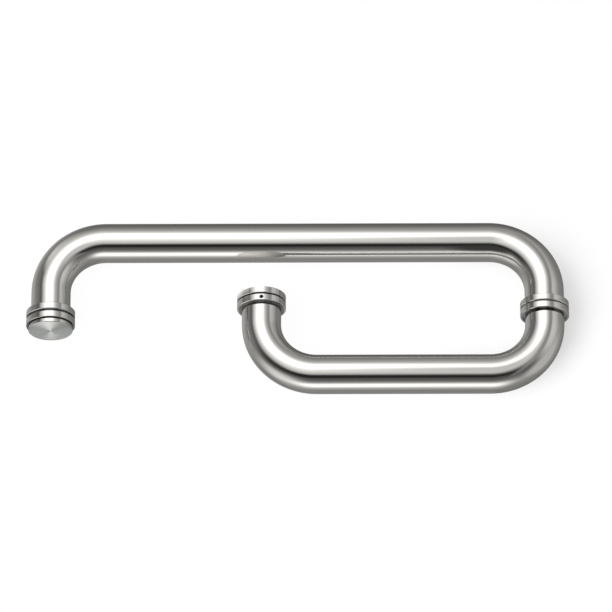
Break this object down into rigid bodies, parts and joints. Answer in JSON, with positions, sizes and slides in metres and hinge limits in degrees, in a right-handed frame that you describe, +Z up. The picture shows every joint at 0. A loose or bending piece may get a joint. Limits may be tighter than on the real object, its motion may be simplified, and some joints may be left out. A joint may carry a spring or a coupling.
{
  "type": "shower door handle",
  "caption": "Back-to-back glass shower door handle in bent satin tube: a long towel bar and a short pull, joined through the glass at a shared post.",
  "frame": {"origin": "on the axis of the shared post, in the middle of its glass joint", "axes": "+X along the bars, away from their far posts; +Y through the glass, towards the towel bar; +Z up"},
  "size_m": [0.345, 0.118, 0.031],
  "materials": {
    "satin_tube": "satin stainless tube, fine polish",
    "turned_ring": "turned stainless, fine rings round the side",
    "turned_cover": "turned stainless, faced end",
    "plain_steel": "machined steel",
    "black_steel": "blackened steel",
    "black_gasket": "matt black rubber",
    "nylon_bush": "natural nylon"
  },
  "bodies": {
    "root": {"towel_bar": "satin_tube", "pull_handle": "satin_tube", "towel_bar_collar": "turned_ring", "pull_handle_collar": "turned_ring", "towel_bar_base_ring": "turned_ring", "pull_handle_base_ring": "turned_ring", "towel_bar_cover": "turned_cover", "pull_handle_cover": "turned_cover", "towel_bar_far_plug": "plain_steel", "towel_bar_shared_plug": "plain_steel", "pull_handle_far_plug": "plain_steel", "pull_handle_shared_plug": "plain_steel", "shared_stud": "plain_steel", "towel_bar_fixing_screw": "plain_steel", "pull_handle_fixing_screw": "plain_steel", "towel_bar_set_screw": "black_steel", "pull_handle_set_screw": "black_steel", "towel_bar_shared_gasket": "black_gasket", "pull_handle_shared_gasket": "black_gasket", "towel_bar_tube_gasket": "black_gasket", "towel_bar_base_gasket": "black_gasket", "pull_handle_tube_gasket": "black_gasket", "pull_handle_base_gasket": "black_gasket", "shared_bush": "nylon_bush", "towel_bar_far_bush": "nylon_bush", "pull_handle_far_bush": "nylon_bush"}
  },
  "joints": []
}
